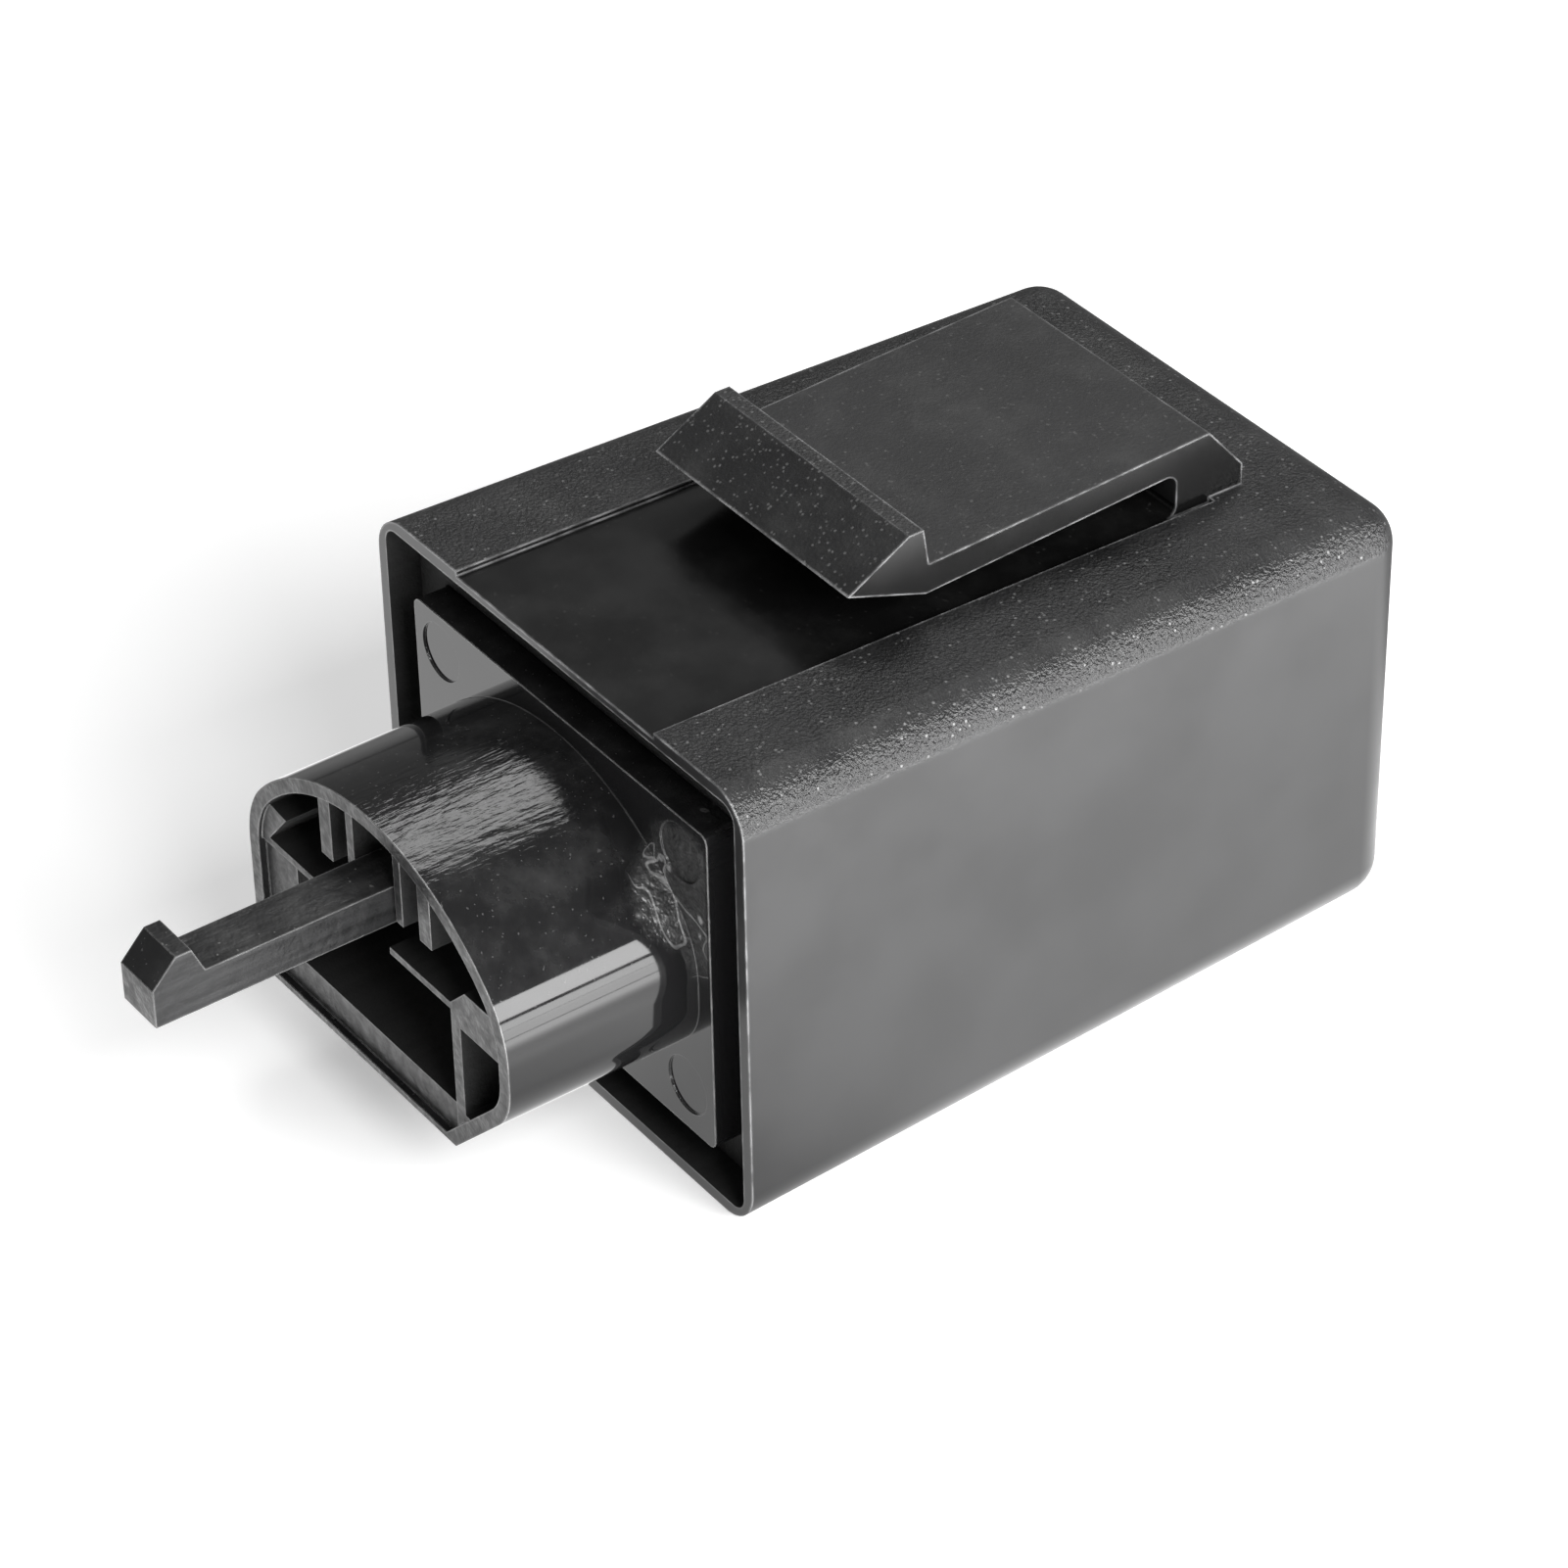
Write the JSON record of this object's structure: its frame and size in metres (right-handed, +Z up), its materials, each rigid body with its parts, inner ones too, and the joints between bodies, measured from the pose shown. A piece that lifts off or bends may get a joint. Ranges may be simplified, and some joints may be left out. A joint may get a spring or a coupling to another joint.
{
  "type": "automotive relay",
  "caption": "Plug-in automotive relay: black moulded case with a bracket clip, keyed plug shroud with a long hooked lock arm, and a sealed relay on a circuit board inside.",
  "frame": {"origin": "centre of the case's open rim, where the plug stands in its plane", "axes": "+Y from the plug to the closed end, -Y out of the plug, +Z up towards the bracket clip, +X to the right for someone who looks into the plug"},
  "size_m": [0.03, 0.0633, 0.0296],
  "materials": {
    "case_plastic": "fine spark-eroded black moulding",
    "base_plastic": "smooth black moulding",
    "compound": "poured dark sealing compound",
    "tinned_brass": "tin plated brass sheet",
    "board_laminate": "lacquered glass laminate",
    "magnet_steel": "zinc plated soft iron",
    "bobbin_plastic": "plain natural nylon",
    "copper_wire": "enamelled copper wire, wound close",
    "tinned_wire": "tinned wire",
    "spring_bronze": "rolled bronze strip",
    "brass": "pressed brass",
    "contact_silver": "silver alloy",
    "spring_steel": "rolled spring strip",
    "capacitor_sleeve": "shrunk dark sleeve",
    "resistor_coat": "plain beige coat",
    "black_epoxy": "moulded epoxy"
  },
  "bodies": {
    "relay": {"outer_case": "case_plastic", "connector_base": "base_plastic", "terminal_blade_1": "tinned_brass", "terminal_blade_2": "tinned_brass", "terminal_blade_3": "tinned_brass", "terminal_blade_4": "tinned_brass", "terminal_blade_5": "tinned_brass", "terminal_blade_6": "tinned_brass", "terminal_blade_7": "tinned_brass", "sealing_compound": "compound", "circuit_board": "board_laminate", "yoke": "magnet_steel", "core": "magnet_steel", "coil_bobbin": "bobbin_plastic", "coil_winding": "copper_wire", "coil_pins": "tinned_wire", "working_contact": "brass", "rest_contact": "brass", "return_spring": "spring_steel", "capacitor": "capacitor_sleeve", "resistor": "resistor_coat", "diode": "black_epoxy", "transistor": "black_epoxy", "timer_chip": "black_epoxy", "component_leads": "tinned_wire"},
    "armature": {"armature": "magnet_steel", "contact_leaf": "spring_bronze", "leaf_rivets": "brass", "moving_contact": "contact_silver"}
  },
  "joints": [
    {"name": "armature_hinge", "type": "hinge", "parent": "relay", "child": "armature", "pos_m": [0, 0.0281, 0.0057], "axis": [-1, 0, 0], "range_deg": [0, 3.2], "stiffness_Nm_per_rad": 0.004, "springref_deg": -8.59}
  ]
}
